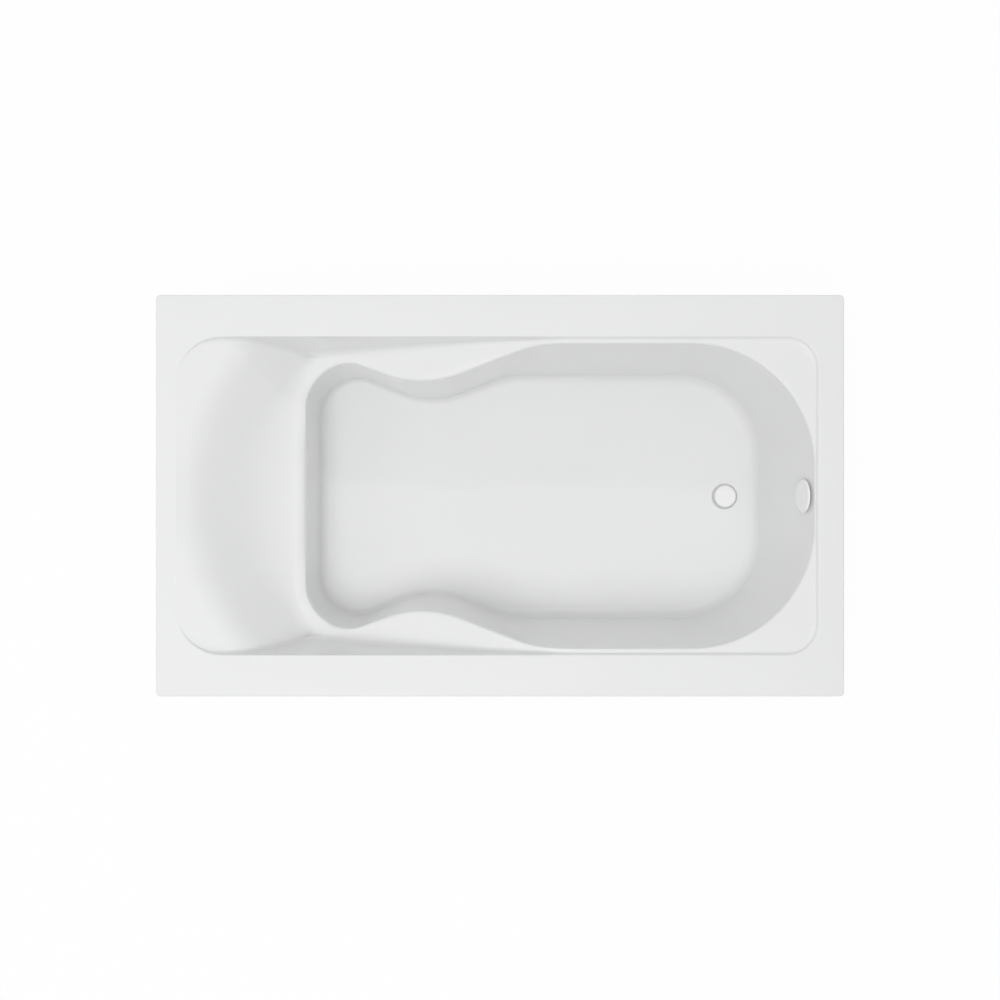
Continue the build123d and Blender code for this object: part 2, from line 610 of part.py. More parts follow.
def overflow_tube():
    bottom = WASTE_CENTRE_HEIGHT + PIPE_RADIUS + SEAT_GAP
    top = ELBOW_SOCKET_HEIGHT + SOCKET_DEPTH
    outside = disc(PIPE_RADIUS, bottom, top, STANDPIPE_X)
    return outside - disc(PIPE_RADIUS - PIPE_WALL, bottom, top, STANDPIPE_X)


def slip_washer():
    """Tapered ring at the mouth of a socket, whose end is at zero with the pipe leaving upwards."""
    ring = disc(SOCKET_RADIUS, 0, WASHER_THICKNESS)
    ring = chamfer(ring.edges().sort_by(Axis.Z)[-1], WASHER_THICKNESS / 2)
    return ring - disc(PIPE_RADIUS, 0, WASHER_THICKNESS)


def slip_nut():
    """Octagonal nut over the mouth of a socket, pressing the washer onto it."""
    end = WASHER_THICKNESS + NUT_END_WALL
    start = end - NUT_LENGTH
    nut = extrude(Pos(0, 0, start) * RegularPolygon(NUT_RADIUS, NUT_SIDES, major_radius=False), NUT_LENGTH)
    collar = disc(NUT_RADIUS + 1.0, start, end)
    collar = chamfer(collar.edges().group_by(Axis.Z)[-1], NUT_END_WALL)
    nut = nut & collar
    nut = nut - disc(SOCKET_RADIUS + SOCKET_CLEARANCE / 2, start, WASHER_THICKNESS)
    return nut - disc(PIPE_RADIUS + SOCKET_CLEARANCE, start, end)


def slip_joint_places():
    """Each socket mouth, turned so that its pipe leaves along the place's own Z."""
    return [
        Pos(shoe_outlet_x(), 0, WASTE_CENTRE_HEIGHT) * Rot(0, 90, 0),
        Pos(tee_inlet_x(), 0, WASTE_CENTRE_HEIGHT) * Rot(0, -90, 0),
        Pos(STANDPIPE_X, 0, tee_top()),
        Pos(STANDPIPE_X, 0, tee_bottom()) * Rot(180, 0, 0),
        Pos(STANDPIPE_X, 0, ELBOW_SOCKET_HEIGHT) * Rot(180, 0, 0),
    ]


def overflow_elbow():
    """Elbow behind the overflow hole, with a flange for its gasket, a screw bar and a socket below."""
    face = -WALL_BACK - GASKET_THICKNESS
    reach = (STANDPIPE_X - overflow_plane().origin.X) + SOCKET_RADIUS
    mouth_radius = OVERFLOW_HOLE_RADIUS + FITTING_WALL
    place = overflow_plane().location
    head_height = RIM_HEIGHT - OVERFLOW_DROP
    flange = disc(GASKET_RADIUS, face - FITTING_WALL, face)
    throat = disc(mouth_radius, -reach, face)
    throat = chamfer(throat.edges().sort_by(Axis.Z)[0], mouth_radius / 4)
    drop = disc(SOCKET_RADIUS, ELBOW_SOCKET_HEIGHT, head_height, STANDPIPE_X)
    body = place * (flange + throat) + drop
    hollow = disc(OVERFLOW_HOLE_RADIUS, FITTING_WALL - reach, face)
    hollow = chamfer(hollow.edges().sort_by(Axis.Z)[0], OVERFLOW_HOLE_RADIUS / 4)
    bore = disc(SOCKET_BORE, ELBOW_SOCKET_HEIGHT, head_height, STANDPIPE_X)
    body = body - place * hollow - bore
    bar_size = (2 * mouth_radius - 2, CROSSBAR_HUB_RADIUS * 2, FITTING_WALL * 2)
    bar = Box(*bar_size, align=(Align.CENTER, Align.CENTER, Align.MAX))
    for y in (-OVERFLOW_SCREW_SPREAD, OVERFLOW_SCREW_SPREAD):
        bar = bar - disc(SCREW_RADIUS, -FITTING_WALL * 2, 0, y, 0)
    return body + place * Pos(0, 0, face) * bar


def overflow_gasket():
    back = -WALL_BACK - GASKET_THICKNESS
    ring = disc(GASKET_RADIUS, back, -WALL_BACK) - disc(OVERFLOW_HOLE_RADIUS, back, -WALL_BACK)
    return overflow_plane().location * ring


def overflow_bracket():
    """Ring with a bar across it, screwed to the elbow through the wall."""
    ring = disc(BRACKET_RADIUS, 0, BRACKET_THICKNESS) - disc(OVERFLOW_HOLE_RADIUS - 1, 0, BRACKET_THICKNESS)
    bar = Box(
        2 * OVERFLOW_HOLE_RADIUS,
        CROSSBAR_HUB_RADIUS * 2,
        BRACKET_THICKNESS,
        align=(Align.CENTER, Align.CENTER, Align.MIN),
    )
    bracket = ring + bar
    for y in (-OVERFLOW_SCREW_SPREAD, OVERFLOW_SCREW_SPREAD):
        bracket = bracket - disc(SCREW_RADIUS + SEAT_GAP, 0, BRACKET_THICKNESS, y, 0)
    return overflow_plane().location * bracket


def overflow_screws():
    end = -WALL_BACK - GASKET_THICKNESS - FITTING_WALL * 2
    screws = []
    for y in (-OVERFLOW_SCREW_SPREAD, OVERFLOW_SCREW_SPREAD):
        head = disc(SCREW_HEAD_RADIUS, BRACKET_THICKNESS, BRACKET_THICKNESS + SCREW_HEAD_HEIGHT, y, 0)
        head = chamfer(head.edges().sort_by(Axis.Z)[-1], SCREW_HEAD_HEIGHT / 3)
        screws.append(head + disc(SCREW_RADIUS, end, BRACKET_THICKNESS, y, 0))
    return overflow_plane().location * Compound(screws)


def overflow_cover():
    """Domed disc over the overflow, with a skirt that clips round the bracket and lets water in below."""
    top = OVERFLOW_COVER_HEIGHT
    inside = top - OVERFLOW_COVER_WALL
    rim = top - OVERFLOW_COVER_WALL * 2
    skirt_inner = BRACKET_RADIUS + SEAT_GAP
    skirt_outer = skirt_inner + OVERFLOW_COVER_WALL
    with BuildPart() as cover:
        with BuildSketch(Plane.XZ):
            with BuildLine():
                Polyline((0, top), (0, inside), (OVERFLOW_COVER_RADIUS - OVERFLOW_COVER_WALL, rim))
                Line((OVERFLOW_COVER_RADIUS - OVERFLOW_COVER_WALL, rim), (OVERFLOW_COVER_RADIUS, rim))
                ThreePointArc(
                    (OVERFLOW_COVER_RADIUS, rim),
                    (OVERFLOW_COVER_RADIUS - OVERFLOW_COVER_WALL * 1.3, inside + OVERFLOW_COVER_WALL * 0.2),
                    (OVERFLOW_COVER_RADIUS * 0.75, top - OVERFLOW_COVER_WALL * 0.35),
                )
                Line((OVERFLOW_COVER_RADIUS * 0.75, top - OVERFLOW_COVER_WALL * 0.35), (0, top))
            make_face()
        revolve(axis=Axis.Z)
    skirt = disc(skirt_outer, SEAT_GAP, inside - OVERFLOW_COVER_WALL / 4) - disc(skirt_inner, 0, inside)
    gap = Box(2 * BRACKET_RADIUS, BRACKET_RADIUS, inside * 2)
    low_gap = Pos(0, -skirt_outer, 0) * gap
    return overflow_plane().location * (cover.part + (skirt - low_gap))


def build_nodes():
    inner = basin_form(0, 0, FLOOR_HEIGHT, FLOOR_FALL_ANGLE, WELL_LIP_RADIUS)
    outer = basin_form(
        ACRYLIC, ACRYLIC, FLOOR_HEIGHT - ACRYLIC, FLOOR_FALL_ANGLE, WELL_LIP_RADIUS + ACRYLIC
    )
    backed = basin_form(SHEET, SHEET, BED_HEIGHT, 0, WELL_LIP_RADIUS)
    joints = slip_joint_places()
    nodes = {
        "acrylic_shell": acrylic_shell(inner, outer),
        "fibreglass_backing": fibreglass_backing(outer, backed),
        "base_board": base_board(),
        "rim_batten_left": side_batten(1),
        "rim_batten_right": side_batten(-1),
        "rim_batten_head": end_batten(-1, END_BATTEN_WIDTH),
        "rim_batten_foot": end_batten(1, END_BATTEN_WIDTH),
        "cradle_rail_head": cradle_rail(RAIL_X[0]),
        "cradle_rail_foot": cradle_rail(RAIL_X[1]),
        "rail_screws": rail_screws(),
        "rail_weld_nuts": rail_nuts(RAIL_WEB_BOTTOM),
        "foot_lock_nuts": rail_nuts(RAIL_WEB_BOTTOM - NUT_THICKNESS),
        "drain_flange": drain_flange(),
        "drain_gasket": drain_gasket(),
        "drain_shoe": drain_shoe(),
        "stopper_post": stopper_post(),
        "stopper_cap": stopper_cap(),
        "stopper_seal": stopper_seal(),
        "waste_tube": waste_tube(),
        "waste_tee": waste_tee(),
        "tailpiece": tailpiece(),
        "overflow_tube": overflow_tube(),
        "overflow_elbow": overflow_elbow(),
        "overflow_gasket": overflow_gasket(),
        "overflow_bracket": overflow_bracket(),
        "overflow_screws": overflow_screws(),
        "overflow_cover": overflow_cover(),
        "slip_nuts": Compound([place * slip_nut() for place in joints]),
        "slip_washers": Compound([place * slip_washer() for place in joints]),
    }
    for name, (x, y) in zip(("head_left", "head_right", "foot_left", "foot_right"), foot_places()):
        nodes["foot_pad_" + name] = foot_pad(x, y)
        nodes["foot_stud_" + name] = foot_stud(x, y)
    return nodes


os.makedirs("parts", exist_ok=True)
for node_name, shape in build_nodes().items():
    export_step(shape, "parts/" + node_name + ".step")
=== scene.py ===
import json
import math
import bpy
import bmesh
import numpy as np
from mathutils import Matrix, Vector
from mathutils.geometry import delaunay_2d_cdt


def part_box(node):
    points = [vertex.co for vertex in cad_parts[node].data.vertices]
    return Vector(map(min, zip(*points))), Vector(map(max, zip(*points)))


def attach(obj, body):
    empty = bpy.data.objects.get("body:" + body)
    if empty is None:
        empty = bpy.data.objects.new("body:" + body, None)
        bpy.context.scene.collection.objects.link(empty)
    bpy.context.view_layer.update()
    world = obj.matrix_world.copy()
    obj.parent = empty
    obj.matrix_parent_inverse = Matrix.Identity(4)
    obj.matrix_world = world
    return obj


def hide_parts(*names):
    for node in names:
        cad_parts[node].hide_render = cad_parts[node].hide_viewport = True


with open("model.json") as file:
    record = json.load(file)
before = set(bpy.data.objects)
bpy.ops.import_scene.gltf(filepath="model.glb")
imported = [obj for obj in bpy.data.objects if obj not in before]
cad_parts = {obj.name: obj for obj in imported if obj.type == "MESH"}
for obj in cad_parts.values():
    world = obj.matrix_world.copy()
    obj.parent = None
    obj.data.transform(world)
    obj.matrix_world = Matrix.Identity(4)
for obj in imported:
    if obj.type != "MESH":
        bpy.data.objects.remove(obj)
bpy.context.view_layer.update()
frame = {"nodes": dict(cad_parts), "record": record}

# The acrylic sheet and the layer sprayed behind it are made here. The other pieces are the solids, with a
# finish. Sizes are in millimetres unless they say otherwise, and become metres when a mesh is made. A pair of
# values in a name that ends with X or Y is where a gradual change starts and where it is complete.
MM = 0.001

# Rim and basin edge
shell_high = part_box("acrylic_shell")[1]
RIM_X = shell_high.x / MM
RIM_Y = shell_high.y / MM
RIM_Z = shell_high.z / MM
RIM_CORNER = 12.0
LIP_HEIGHT = 25.0
EDGE_ROUND = 4.5
LOW_STEP = 10.0
LOW_STEP_EDGE_ROUND = 20.5
BASIN_HEAD_X = -862.0
BASIN_FOOT_X = 846.0
BASIN_Y = 423.0
BASIN_HEAD_CORNER = 122.0
BASIN_FOOT_CORNER = 82.0
BASIN_DRAFT = math.tan(math.radians(8.0))
STEP_RUN = 3.0
STEP_FADE = 30.0

# Thickness of the sheet and of the layer sprayed behind it. That layer starts inside the sheet and stops
# below the rim.
SHEET = 3.8
BACKING = 4.8
BACKING_START = 2.6
BACKING_TOP_DROP = 23.0
BACKING_DRAIN_ROOM = 9.0

# Backrest, shelf, armrests and foot ledge
LEDGE_DROP = 12.0
ARMREST_START_X = 170.0
LIP_X = -555.0
LIP_DROP = 182.0
SHELF_SLOPE = 4.0 / 92.0
SHOULDER_SLOPE = math.tan(math.radians(10.0))
BACK_SLOPE = math.tan(math.radians(44.0))
BACK_TOP_X = -825.0
BACK_PLAN_RADIUS = 690.0
BACK_TOP_BLEND = 30.0
BACK_FOOT_BLEND = 76.0
BACK_FOOT_BLEND_SIDE = 22.0
ARMREST_BLEND = 8.0
ARMREST_TILT = math.tan(math.radians(12.0))
ARMREST_MIDDLE = 350.0
TILT_START_X = (LIP_X + 20.0, LIP_X + 110.0)
TILT_END_X = (ARMREST_START_X - 220.0, ARMREST_START_X - 60.0)
LIP_CREASE_BLEND = 10.0
BACK_SIDE_Y = (150.0, 350.0)

# Well: corner points (x, y) of half its outline and the radius at each, on the floor and at the rim's height
FLOOR_DROP = 430.0
FLOOR_FALL = math.tan(math.radians(0.38))
DRAIN_X = 682.0
FLOOR_POINTS = ((772.0, 361.0), (15.0, 361.0), (-207.0, 272.0), (-540.0, 413.0))
FLOOR_RADII = (230.0, 250.0, 245.0, 115.0)
TOP_POINTS = ((841.0, 408.0), (100.0, 408.0), (-207.0, 305.0), (-553.0, 430.0))
TOP_RADII = (330.0, 250.0, 330.0, 125.0)
FLOOR_ROUND_HEAD = 22.0
FLOOR_ROUND_FOOT = 42.0
FLOOR_INSET = 46.0
FLOOR_ROUND_X = (-400.0, 600.0)

# Crease between ledge and side: its share of the depth there and its limit, both larger beside the backrest
CREASE_SHARE = 0.20
CREASE_LIMIT = 36.0
BACK_CREASE_SHARE = 0.75
BACK_CREASE_LIMIT = 95.0
BACK_CREASE_X = (LIP_X - 110.0, LIP_X - 20.0)
BACK_CREASE_Y = (260.0, 360.0)
LEAST_CREASE = 3.0

# Lip round the well: how far its rounding reaches outwards and down the wall, further at the head's middle
LIP_ROUND = 7.0
HEAD_LIP_ROUND = 34.0
LIP_ROUND_WALL = 8.0
HEAD_LIP_ROUND_WALL = 24.0
HEAD_LIP_X = (LIP_X + 3.0, LIP_X + 25.0)
HEAD_LIP_Y = (125.0, 235.0)

# Weights of rounded corners
SOFT_CORNER = 0.75
QUARTER_CIRCLE = math.sqrt(0.5)

# Room for roundings: the largest share of its wall or step that a rounding takes, the crease's share of the
# side, the share of the ledge for lip and crease, each one's least share of the way from lip to basin's edge
# and the least share between them. The last two values keep a step of no height from dividing by nothing.
MOST_OF_STRETCH = 0.45
CREASE_OF_SIDE = 0.6
LEDGE_USED = 0.9
LEAST_SHARE = 0.10
LEAST_LEDGE = 0.15
LEAST_RISE = 0.05
LEAST_STEP = 0.1

# Rings of each stretch of the tub's surface, and places of the deck's rings
FLOOR_ROUND_RINGS = 13
WALL_RINGS = 7
LIP_RINGS = 13
LEDGE_RINGS = 24
CREASE_RINGS = 9
SIDE_RINGS = 3
BASIN_EDGE_RINGS = 7
DECK_SHARES = (0.12, 0.4, 0.7)
RIM_EDGE_RINGS = 6

# Steps of the basin's and rim's corners, and of the searches for the lip and for the foot of the side
CORNER_STEPS = 60
BISECTIONS = 40
LEDGE_TRIALS = 801

# Columns run from the well's floor to the rim. ARC_STEPS has the steps of half the outline's corners, and
# LINE_STEPS those of all the stretches between corners. The shares say where on the well's corners the
# columns meet the ends of the basin's corners, and how much of the basin's straight ends they cover beside
# the well's. The lobes' columns come out LOBE_LEAD further towards the head.
ARC_STEPS = (40, 12, 16, 30)
LINE_STEPS = (30, 14, 14, 40, 14, 14, 30, 14)
FOOT_CORNER_SHARES = (0.30, 0.58)
HEAD_CORNER_SHARES = (0.54, 0.80)
FOOT_END_SHARE = 0.42
HEAD_END_SHARE = 0.22
LOBE_LEAD = 40.0

# Drain: the recess with its rounded edge, as places outwards of its radius and down from the floor
RECESS_RADIUS = 38.0
RECESS_DEPTH = 3.0
RECESS_EDGE = ((3.0, 0.0), (1.6, 0.0), (0.6, 0.4), (0.1, 0.9))
RECESS_FOOT = 0.4
DRAIN_HOLE = 24.5
DRAIN_STEPS = 96

# Joining the mesh: points nearer than this become one; how the floor's triangles are asked for and chosen
MERGE_DISTANCE = 0.02
INSIDE_ONLY = 1
CDT_TOLERANCE = 1e-7
JUST_INSIDE = 0.999

# Camera, from the photograph's rim: 689 of 1000 pixels wide, its middle 4.25 pixels above the picture's
CAMERA_ABOVE_RIM = 3000.0
RIM_PIXELS = 689.0
PICTURE_PIXELS = 1000.0
RIM_MIDDLE_UP_PIXELS = 4.25
MM_PER_PIXEL = 2 * RIM_X / RIM_PIXELS
SENSOR = 36.0

# Light: the world's strength on the object, the floor's own light for the camera, and the lamps, in metres
WORLD_STRENGTH = 0.58
FLOOR_SHOWN_WHITE = 0.96
FLOOR_SIZE = 40.0
FLOOR_BELOW = 0.0005
LAMP_AIM = (0, 0, 0.3)
LAMPS = (
    {"name": "overhead", "place": (-1.0, -1.4, 6.8), "size": (3.0, 3.0), "power": 160, "mirrored": False},
    {"name": "strip_far", "place": (0.1, 3.2, 3.6), "size": (1.8, 0.10), "power": 9, "mirrored": True},
    {"name": "strip_head", "place": (-3.4, -0.2, 3.2), "size": (0.18, 1.2), "power": 7, "mirrored": False},
)

# Shapes


def outline(half_points, half_radii, grow):
    """Closed outline with rounded corners and a fixed number of points, so that rings can be joined.

    The half's corners are foot, shoulder, waist and head lobe; only the waist's bends inwards.
    """
    moved = (grow, 0.0, 0.0, -grow)
    widened = (grow, 0.0, -grow, grow)
    points = [(x + dx, y + grow) for (x, y), dx in zip(half_points, moved)]
    radii = [radius + more for radius, more in zip(half_radii, widened)]
    corners = np.array(points + [(x, -y) for x, y in reversed(points)])
    radii = radii + radii[::-1]
    arc_steps = ARC_STEPS + ARC_STEPS[::-1]
    count = len(corners)
    arcs = []
    for i in range(count):
        before = corners[i - 1] - corners[i]
        after = corners[(i + 1) % count] - corners[i]
        before /= np.linalg.norm(before)
        after /= np.linalg.norm(after)
        half_angle = math.acos(np.clip(before @ after, -1, 1)) / 2
        tangent = radii[i] / math.tan(half_angle)
        start = corners[i] + before * tangent
        end = corners[i] + after * tangent
        middle = (before + after) / np.linalg.norm(before + after)
        centre = corners[i] + middle * radii[i] / math.sin(half_angle)
        a = math.atan2(*(start - centre)[::-1])
        sweep = (math.atan2(*(end - centre)[::-1]) - a + math.pi) % (2 * math.pi) - math.pi
        angles = a + sweep * np.linspace(0, 1, arc_steps[i] + 1)
        arcs.append(centre + radii[i] * np.stack([np.cos(angles), np.sin(angles)], 1))
    rows = []
    for i in range(count):
        rows.append(arcs[i])
        start, end = arcs[i][-1], arcs[(i + 1) % count][0]
        steps = np.linspace(0, 1, LINE_STEPS[i] + 1)[1:-1, None]
        rows.append(start + (end - start) * steps)
    return np.concatenate(rows)


def fade(value, start, end):
    """0 up to start, 1 from end on and a straight rise between them."""
    return np.clip((value - start) / (end - start), 0, 1)


def eased(share):
    """A straight rise from 0 to 1 with level ends."""
    return share * share * (3 - 2 * share)


def smooth_min(a, b, width):
    """The smaller of two heights, with a rounded crease of the given width where they cross."""
    h = np.maximum(width - np.abs(a - b), 0) / width
    return np.minimum(a, b) - h * h * width / 4


def smooth_max(a, b, width):
    return -smooth_min(-a, -b, width)


def seat_height(x, y):
    """Backrest, shelf, armrests and foot ledge."""
    lip = RIM_Z - LIP_DROP
    shoulder = RIM_Z - SHOULDER_SLOPE * (x - BASIN_HEAD_X)
    top = RIM_Z - SHOULDER_SLOPE * (BACK_TOP_X - BASIN_HEAD_X)
    steep = top - BACK_SLOPE * (x - BACK_TOP_X - y * y / (2 * BACK_PLAN_RADIUS))
    back = smooth_min(shoulder, steep, BACK_TOP_BLEND)
    shelf = lip - SHELF_SLOPE * (x - LIP_X)
    rise = (LIP_DROP - LEDGE_DROP) / (ARMREST_START_X - LIP_X)
    inwards = fade(x, *TILT_START_X) * (1 - fade(x, *TILT_END_X))
    armrest = lip + rise * (x - LIP_X) + ARMREST_TILT * inwards * (np.abs(y) - ARMREST_MIDDLE)
    armrest = smooth_min(armrest, np.full_like(x, RIM_Z - LEDGE_DROP), ARMREST_BLEND)
    lower = smooth_max(shelf, armrest, LIP_CREASE_BLEND)
    side = eased(fade(np.abs(y), *BACK_SIDE_Y))
    blend = BACK_FOOT_BLEND + (BACK_FOOT_BLEND_SIDE - BACK_FOOT_BLEND) * side
    return smooth_max(back, lower, blend)


def inside_distance(x, y):
    """How far a point lies inside the basin's edge."""
    corner = np.where(x < 0, BASIN_HEAD_CORNER, BASIN_FOOT_CORNER)
    from_end = np.where(x < 0, x - BASIN_HEAD_X, BASIN_FOOT_X - x)
    from_side = BASIN_Y - np.abs(y)
    dx = np.maximum(corner - from_end, 0)
    dy = np.maximum(corner - from_side, 0)
    rounded = corner - np.hypot(dx, dy)
    return np.where((dx > 0) & (dy > 0), rounded, np.minimum(from_end, from_side))


def upper_height(x, y):
    """The seat with the side wall above it, which leans more where it is only a low step."""
    seat = seat_height(x, y)
    depth = RIM_Z - seat
    run = depth * BASIN_DRAFT + STEP_RUN * np.exp(-(((depth - LEDGE_DROP) / STEP_FADE) ** 2))
    inside = inside_distance(x, y)
    return np.where(inside < run, RIM_Z - depth * inside / run, seat), inside >= run


def rectangle_path(x_head, x_foot, half_width, r_head, r_foot):
    """Path round a rounded rectangle's +Y half, from the foot end's middle to the head end's middle.

    Also gives the length up to each point and up to each end of the two corners.
    """
    steps = np.linspace(0, math.pi / 2, CORNER_STEPS)
    sine, cosine = np.sin(steps), np.cos(steps)
    foot = np.stack([x_foot - r_foot + r_foot * cosine, half_width - r_foot + r_foot * sine], 1)
    head = np.stack([x_head + r_head - r_head * sine, half_width - r_head + r_head * cosine], 1)
    path = np.concatenate([[(x_foot, 0.0)], foot, head, [(x_head, 0.0)]])
    length = np.concatenate([[0], np.cumsum(np.linalg.norm(np.diff(path, axis=0), axis=1))])
    foot_start = half_width - r_foot
    foot_end = foot_start + r_foot * math.pi / 2
    head_start = foot_end + (x_foot - r_foot) - (x_head + r_head)
    head_end = head_start + r_head * math.pi / 2
    return path, length, (foot_start, foot_end, head_start, head_end)


def along(path, length, at):
    """Points at the given lengths along a path."""
    return np.stack([np.interp(at, length, path[:, 0]), np.interp(at, length, path[:, 1])], 1)


def half_columns():
    """Column numbers of the +Y half, from the middle of the foot end to the middle of the head end."""
    arc_total = sum(ARC_STEPS)
    head_middle = arc_total + sum(LINE_STEPS[:3]) + LINE_STEPS[3] // 2
    columns = arc_total * 2 + sum(LINE_STEPS)
    foot_middle = columns - LINE_STEPS[7] // 2
    return [i % columns for i in range(foot_middle, columns + head_middle + 1)], columns


def basin_and_rim_columns(well_top):
    """For each column, its point on the basin's edge and on the rim's edge."""
    columns, count = half_columns()
    basin, basin_length, basin_marks = rectangle_path(
        BASIN_HEAD_X, BASIN_FOOT_X, BASIN_Y, BASIN_HEAD_CORNER, BASIN_FOOT_CORNER
    )
    rim, rim_length, rim_marks = rectangle_path(-RIM_X, RIM_X, RIM_Y, RIM_CORNER, RIM_CORNER)
    foot_start = columns.index(0)
    stretches = np.cumsum([ARC_STEPS[i] + LINE_STEPS[i] for i in range(3)])
    foot_end = foot_start + ARC_STEPS[0]
    shoulder = foot_start + int(stretches[0]) + ARC_STEPS[1] // 2
    waist = foot_start + int(stretches[1]) + ARC_STEPS[2] // 2
    lobe = foot_start + int(stretches[2])
    top = well_top[columns]
    side_at = basin_marks[1] + BASIN_FOOT_X - BASIN_FOOT_CORNER
    head_end = basin_length[-1] - basin_marks[3]

    # A column and how far along the basin's edge it comes out
    anchors = [
        (0, 0.0),
        (foot_start, basin_marks[0] * FOOT_END_SHARE),
        (foot_start + ARC_STEPS[0] * FOOT_CORNER_SHARES[0], basin_marks[0]),
        (foot_start + ARC_STEPS[0] * FOOT_CORNER_SHARES[1], basin_marks[1]),
        (foot_end, side_at - top[foot_end, 0]),
        (shoulder, side_at - top[shoulder, 0]),
        (waist, side_at - top[waist, 0]),
        (lobe, side_at - top[lobe, 0] + LOBE_LEAD),
        (lobe + ARC_STEPS[3] * HEAD_CORNER_SHARES[0], basin_marks[2]),
        (lobe + ARC_STEPS[3] * HEAD_CORNER_SHARES[1], basin_marks[3]),
        (lobe + ARC_STEPS[3], basin_marks[3] + head_end * HEAD_END_SHARE),
        (len(columns) - 1, basin_length[-1]),
    ]
    at = np.interp(np.arange(len(columns)), *zip(*anchors))
    basin_half = along(basin, basin_length, at)
    rim_at = np.interp(at, (0.0, *basin_marks, basin_length[-1]), (0.0, *rim_marks, rim_length[-1]))
    rim_half = along(rim, rim_length, rim_at)
    basin_all = np.zeros((count, 2))
    rim_all = np.zeros((count, 2))
    for i, column in enumerate(columns):
        mirror = (columns[-1] * 2 - column) % count
        for whole, half in ((basin_all, basin_half), (rim_all, rim_half)):
            whole[column] = half[i]
            whole[mirror] = half[i] * (1, -1)
    return basin_all, rim_all


def rounded_corner(before, corner, after, steps, weight=SOFT_CORNER):
    """Rings of a rounded corner, as rational curves from before to after."""
    rings = []
    for t in np.linspace(0, 1, steps):
        a, b, c = (1 - t) ** 2, 2 * weight * t * (1 - t), t * t
        rings.append((before * a + corner * b + after * c) / (a + b + c))
    return rings


def with_height(xy, z):
    """Points in space from points in plan and one height, or one for each."""
    return np.concatenate([xy, np.reshape(z, (-1, 1)) * np.ones((len(xy), 1))], 1)


def floor_height(xy):
    return RIM_Z - FLOOR_DROP + (DRAIN_X - xy[:, 0]) * FLOOR_FALL


def lerp(a, b, t):
    """Points between a and b, with one share or one for each point."""
    return a + (b - a) * np.reshape(t, (-1, 1))


def rings_between(surface, start, end, count):
    """Rings between two places on a surface, which takes a share for each column."""
    return [surface(start + (end - start) * t) for t in np.linspace(0, 1, count + 2)[1:-1]]


def lip_on_wall(wall, count):
    """Share of each column of the well's wall at which it comes out through the surface above."""
    lower, upper = np.zeros(count), np.ones(count)
    for _ in range(BISECTIONS):
        middle = (lower + upper) / 2
        point = wall(middle)
        above = point[:, 2] > upper_height(point[:, 0], point[:, 1])[0]
        upper = np.where(above, middle, upper)
        lower = np.where(above, lower, middle)
    return upper


def foot_of_side(lip, basin):
    """Share of each column, from the lip to the basin's edge, at which the side rises from the ledge."""
    trial = np.linspace(0, 1, LEDGE_TRIALS)
    meets = np.zeros(len(lip))
    for i in range(len(lip)):
        xy = lip[i, :2] + (basin[i] - lip[i, :2]) * trial[:, None]
        on_seat = upper_height(xy[:, 0], xy[:, 1])[1]
        if on_seat.any():
            meets[i] = trial[np.nonzero(on_seat)[0][-1]]
    return meets


def lip_sizes(lip):
    """How far the lip's rounding reaches on to the ledge and down the wall: further at the head's middle."""
    head = 1 - fade(lip[:, 0], *HEAD_LIP_X)
    head = eased(head * (1 - fade(np.abs(lip[:, 1]), *HEAD_LIP_Y)))
    lip_out = LIP_ROUND + (HEAD_LIP_ROUND - LIP_ROUND) * head
    lip_in = LIP_ROUND_WALL + (HEAD_LIP_ROUND_WALL - LIP_ROUND_WALL) * head
    return lip_out, lip_in


def crease_size(xy):
    """How far the crease between ledge and side reaches: further beside the backrest."""
    depth = RIM_Z - seat_height(*xy.T)
    back = (1 - fade(xy[:, 0], *BACK_CREASE_X)) * fade(np.abs(xy[:, 1]), *BACK_CREASE_Y)
    share = CREASE_SHARE + (BACK_CREASE_SHARE - CREASE_SHARE) * back
    limit = CREASE_LIMIT + (BACK_CREASE_LIMIT - CREASE_LIMIT) * back
    return np.clip(depth * share, LEAST_CREASE, limit)


